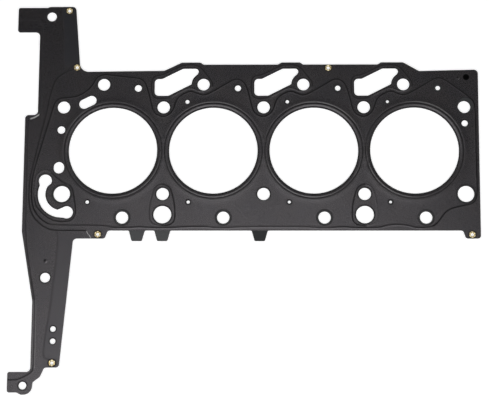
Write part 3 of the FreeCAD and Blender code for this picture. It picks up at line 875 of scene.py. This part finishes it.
def tinted(nodes, links, factor, first, second):
    mix = nodes.new("ShaderNodeMix")
    mix.data_type = "RGBA"
    links.new(factor, mix.inputs["Factor"])
    for letter, value in (("A", first), ("B", second)):
        socket = colourSocket(mix, letter)
        if isinstance(value, tuple):
            socket.default_value = value + (1,)
        else:
            links.new(value, socket)
    return [socket for socket in mix.outputs if socket.identifier == "Result_Color"][0]


def blended(nodes, links, factor, first, second):
    mix = nodes.new("ShaderNodeMix")
    links.new(factor, mix.inputs["Factor"])
    links.new(first, mix.inputs["A"])
    mix.inputs["B"].default_value = second
    return mix.outputs["Result"]


def ranged(nodes, links, value, low, high, fromLow=0.0, fromHigh=1.0):
    span = nodes.new("ShaderNodeMapRange")
    span.inputs["From Min"].default_value = fromLow
    span.inputs["From Max"].default_value = fromHigh
    span.inputs["To Min"].default_value = low
    span.inputs["To Max"].default_value = high
    links.new(value, span.inputs["Value"])
    return span.outputs["Result"]


def attribute(nodes, name):
    node = nodes.new("ShaderNodeAttribute")
    node.attribute_name = name
    return node.outputs["Fac"]


# The start of every finish: its colour comes from the patches, its roughness from the grain.
def startFinish(name, group, values, first, second):
    material, nodes, links, shader = newMaterial(name)
    clouds = nodes.new("ShaderNodeGroup")
    clouds.node_tree = group
    clouds.inputs["Patch Scale"].default_value = values["patchScale"]
    clouds.inputs["Grain Scale"].default_value = values["grainScale"]
    patches = ranged(nodes, links, clouds.outputs["Patches"], 0, 1, *values["patchRange"])
    colour = tinted(nodes, links, patches, values[first], values[second])
    grain, low, high = clouds.outputs["Grain"], values["roughLow"], values["roughHigh"]
    rough = ranged(nodes, links, grain, low, high, *values["grainRange"])
    bump = nodes.new("ShaderNodeBump")
    bump.inputs["Strength"].default_value = values["bump"]
    bump.inputs["Distance"].default_value = bumpDistance
    links.new(grain, bump.inputs["Height"])
    links.new(bump.outputs["Normal"], shader.inputs["Normal"])
    return material, nodes, links, shader, colour, rough


# Puts each mask's colour and roughness over what is there, in their order.
def endFinish(nodes, links, shader, values, colour, rough, colours, roughs):
    for mask, label in colours:
        colour = tinted(nodes, links, mask, colour, values[label])
    for mask, label in roughs:
        rough = blended(nodes, links, mask, rough, values[label])
    links.new(colour, shader.inputs["Base Color"])
    links.new(rough, shader.inputs["Roughness"])


coatValues = {
    "dark": (0.0092, 0.0088, 0.0102),
    "brown": (0.0135, 0.0118, 0.0118),
    "folded": (0.0045, 0.0055, 0.0075),
    # line: the colour of the painted shade in the creases
    "line": (0.002, 0.002, 0.002),
    # edge: the colour of the painted shade beside the punched edges and round the eyelets
    "edge": (0.002, 0.002, 0.002),
    "gloss": (1.0, 0.95, 1.0),
    # the colour of the real scuffs and of the painted highlights
    "scuffAndHighlight": (0.4, 0.4, 0.39),
    "patchScale": 45.0,
    "grainScale": 1800.0,
    "patchRange": (0.35, 0.65),
    "grainRange": (0.3, 0.7),
    "roughLow": 0.25,
    "roughHigh": 0.31,
    "roughFold": 0.34,
    "roughLine": 0.85,
    "roughEdge": 0.85,
    "lineAmount": 1.0,
    "metalLine": 0.5,             # takes the shine out of the creases, deepening their painted shade
    "edgeAmount": 1.0,
    "bump": 0.12,
}


def coatMaterial(group):
    values = coatValues
    made = startFinish("coatedSheet", group, values, "dark", "brown")
    material, nodes, links, shader, colour, rough = made
    fold, scuffAndHighlight = attribute(nodes, "fold"), attribute(nodes, "scuffAndHighlight")
    # painted shade in the creases of the beads and the dimples
    line = ranged(nodes, links, attribute(nodes, "creaseShade"), 0, values["lineAmount"])
    # painted shade beside the edges and round the eyelets
    edge = ranged(nodes, links, attribute(nodes, "rim"), 0, values["edgeAmount"])
    colours = [(fold, "folded"), (line, "line"), (edge, "edge"), (scuffAndHighlight, "scuffAndHighlight")]
    roughs = [(fold, "roughFold"), (line, "roughLine"), (edge, "roughEdge")]
    endFinish(nodes, links, shader, values, colour, rough, colours, roughs)
    shader.inputs["Specular Tint"].default_value = values["gloss"] + (1,)
    links.new(ranged(nodes, links, line, 0, values["metalLine"]), shader.inputs["Metallic"])
    return material


steelValues = {
    "dark": (0.0125, 0.0135, 0.015),
    "light": (0.017, 0.0185, 0.0205),
    # edge: the colour of the painted shade beside the punched edges, and of the painted black under
    # the window
    "edge": (0.003, 0.003, 0.003),
    "patchScale": 60.0,
    "grainScale": 1200.0,
    "patchRange": (0.35, 0.65),
    "grainRange": (0.3, 0.7),
    "roughLow": 0.35,
    "roughHigh": 0.43,
    "roughBare": 0.75,
    "roughEdge": 0.8,
    "edgeAmount": 0.9,
    "bump": 0.1,
}


def steelMaterial(group):
    values = steelValues
    made = startFinish("bareSteel", group, values, "dark", "light")
    material, nodes, links, shader, colour, rough = made
    bare, windowShade = attribute(nodes, "bare"), attribute(nodes, "windowShade")
    # painted shade beside the punched edges
    edge = ranged(nodes, links, attribute(nodes, "rim"), 0, values["edgeAmount"])
    colours = [(edge, "edge"), (windowShade, "edge")]
    roughs = [(bare, "roughBare"), (edge, "roughEdge")]
    endFinish(nodes, links, shader, values, colour, rough, colours, roughs)
    # painted black as shade where it shows through the window of the top layer
    links.new(windowShade, shader.inputs["Metallic"])
    return material


brassValues = {
    "pale": (0.93, 0.84, 0.57),
    "deep": (0.6, 0.47, 0.2),
    # split: the colour of the painted shade in the splits, round the rolled outline, inside the
    # bore and under the flanges
    "split": (0.07, 0.04, 0.01),
    "roughSplit": 0.7,
    "patchScale": 500.0,
    "grainScale": 3000.0,
    "patchRange": (0.3, 0.7),
    "grainRange": (0.3, 0.7),
    "roughLow": 0.24,
    "roughHigh": 0.42,
    "bump": 0.08,
}


def brassMaterial(group):
    values = brassValues
    made = startFinish("paleBrass", group, values, "pale", "deep")
    material, nodes, links, shader, colour, rough = made
    # shade is the painted shade on the eyelet
    shade = attribute(nodes, "shade")
    colours, roughs = [(shade, "split")], [(shade, "roughSplit")]
    endFinish(nodes, links, shader, values, colour, rough, colours, roughs)
    shader.inputs["Metallic"].default_value = 1
    return material


cloudGroup = makeCloudGroup()
coat, steel, brass = (make(cloudGroup) for make in (coatMaterial, steelMaterial, brassMaterial))
print("stage: finishes made")


def place(piece, node, finish):
    piece.data.materials.append(finish)
    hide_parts(node)
    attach(piece, "root")


place(makeLowerLayer(), "lower_layer", steel)
place(makeTopLayer(), "top_layer", coat)
for name, spot in eyeletPlaces.items():
    place(makeEyelet("rivet_" + name[-1], spot), name, brass)
print("stage: pieces made")


studioValues = {
    "floorSize": 30.0,
    "floorDrop": 0.0001,
    "wallRadius": 14.0,
    "wallHeight": 8.0,
    "wallSides": 48,
    "floorColour": (0.8, 0.8, 0.8),
    "floorGlow": 0.45,
    "world": (0.95, 0.97, 1.0),
    "worldStrength": 0.1,
}

# name: place, where it points, size, watts
lamps = {
    "overhead": ((0.10, -0.13, 2.4), (0.10, -0.13, 0.0), (0.94, 1.16), 12.5),
    "inner": ((-0.02, -0.27, 2.41), (-0.02, -0.27, 0.0), (1.0, 0.52), 5.8),
    "leftSide": ((-1.7, -0.35, 1.1), (0.13, -0.05, 0.0), (1.2, 1.2), 12.0),
    "rightSide": ((1.95, -0.35, 1.1), (0.13, -0.05, 0.0), (1.2, 1.2), 12.0),
    "front": ((0.13, -2.0, 1.3), (0.13, -0.05, 0.0), (1.4, 1.0), 14.0),
}

cameraValues = {
    "place": (0.1572, -0.4200, 1.6939),
    "view": (-0.0154, 0.2133, -0.9769),
    "up": (0.0003, 0.9770, 0.2134),
    "focalPixels": 1761.7,
    "framePixels": 489,
    "sensor": 36.0,
    "clip": (0.05, 50),
}


def paleMaterial():
    material, nodes, links, shader = newMaterial("paleFloor")
    nodes.remove(shader)
    kinds = ("BsdfDiffuse", "Emission", "AddShader")
    matt, glow, both = (nodes.new("ShaderNode" + kind) for kind in kinds)
    matt.inputs["Color"].default_value = studioValues["floorColour"] + (1,)
    rays = nodes.new("ShaderNodeLightPath")
    seen, mirrored = nodes.new("ShaderNodeMath"), nodes.new("ShaderNodeMath")
    seen.operation = mirrored.operation = "MAXIMUM"
    links.new(rays.outputs["Is Camera Ray"], seen.inputs[0])
    links.new(rays.outputs["Is Glossy Ray"], mirrored.inputs[0])
    links.new(rays.outputs["Is Transmission Ray"], mirrored.inputs[1])
    links.new(mirrored.outputs[0], seen.inputs[1])
    strength = nodes.new("ShaderNodeMath")
    strength.operation = "MULTIPLY"
    strength.inputs[1].default_value = studioValues["floorGlow"]
    links.new(seen.outputs[0], strength.inputs[0])
    links.new(strength.outputs[0], glow.inputs["Strength"])
    links.new(matt.outputs[0], both.inputs[0])
    links.new(glow.outputs[0], both.inputs[1])
    links.new(both.outputs[0], nodes["Material Output"].inputs["Surface"])
    return material


# The floor, and a round wall far behind it for the low views.
def makeFloor():
    half = studioValues["floorSize"] / 2
    drop = -studioValues["floorDrop"]
    corners = [(-half, -half, drop), (half, -half, drop), (half, half, drop), (-half, half, drop)]
    sides, radius, height = (studioValues["wall" + word] for word in ("Sides", "Radius", "Height"))
    turns = np.arange(sides) * 2 * math.pi / sides
    ring = np.stack([radius * np.cos(turns), radius * np.sin(turns)], axis=1)
    levels = [np.column_stack([ring, np.full(sides, level)]) for level in (drop, height)]
    wall = np.concatenate(levels).tolist()
    panels = []
    for step in range(sides):
        ahead = (step + 1) % sides
        panels.append((step, sides + step, sides + ahead, ahead))
    material = paleMaterial()
    for name, points, faces in (("floor", corners, [(0, 1, 2, 3)]), ("backdrop", wall, panels)):
        mesh = bpy.data.meshes.new(name)
        mesh.from_pydata(points, [], faces)
        mesh.materials.append(material)
        item = bpy.data.objects.new(name, mesh)
        bpy.context.scene.collection.objects.link(item)


def makeLamps():
    for name, (spot, aim, size, watts) in lamps.items():
        lamp = bpy.data.lights.new(name, "AREA")
        lamp.shape = "RECTANGLE"
        lamp.size, lamp.size_y = size
        lamp.energy = watts
        item = bpy.data.objects.new(name, lamp)
        item.location = spot
        item.rotation_euler = (Vector(aim) - Vector(spot)).to_track_quat("-Z", "Y").to_euler()
        bpy.context.scene.collection.objects.link(item)


def makeWorld():
    world = bpy.data.worlds.new("softRoom")
    world.use_nodes = True
    background = world.node_tree.nodes["Background"]
    background.inputs["Color"].default_value = studioValues["world"] + (1,)
    background.inputs["Strength"].default_value = studioValues["worldStrength"]
    bpy.context.scene.world = world


def makeCamera():
    values = cameraValues
    camera = bpy.data.cameras.new("camera")
    camera.sensor_width = values["sensor"]
    camera.lens = values["focalPixels"] / values["framePixels"] * values["sensor"]
    camera.clip_start, camera.clip_end = values["clip"]
    item = bpy.data.objects.new("camera", camera)
    back = -Vector(values["view"]).normalized()
    right = Vector(values["up"]).cross(back).normalized()
    up = back.cross(right)
    turned = Matrix((right, up, back)).transposed().to_4x4()
    item.matrix_world = Matrix.Translation(Vector(values["place"])) @ turned
    bpy.context.scene.collection.objects.link(item)
    bpy.context.scene.camera = item


makeFloor()
makeLamps()
makeWorld()
makeCamera()
bpy.context.scene.view_settings.view_transform = "Standard"
print("stage: floor, light and camera set")

print("stage: done")
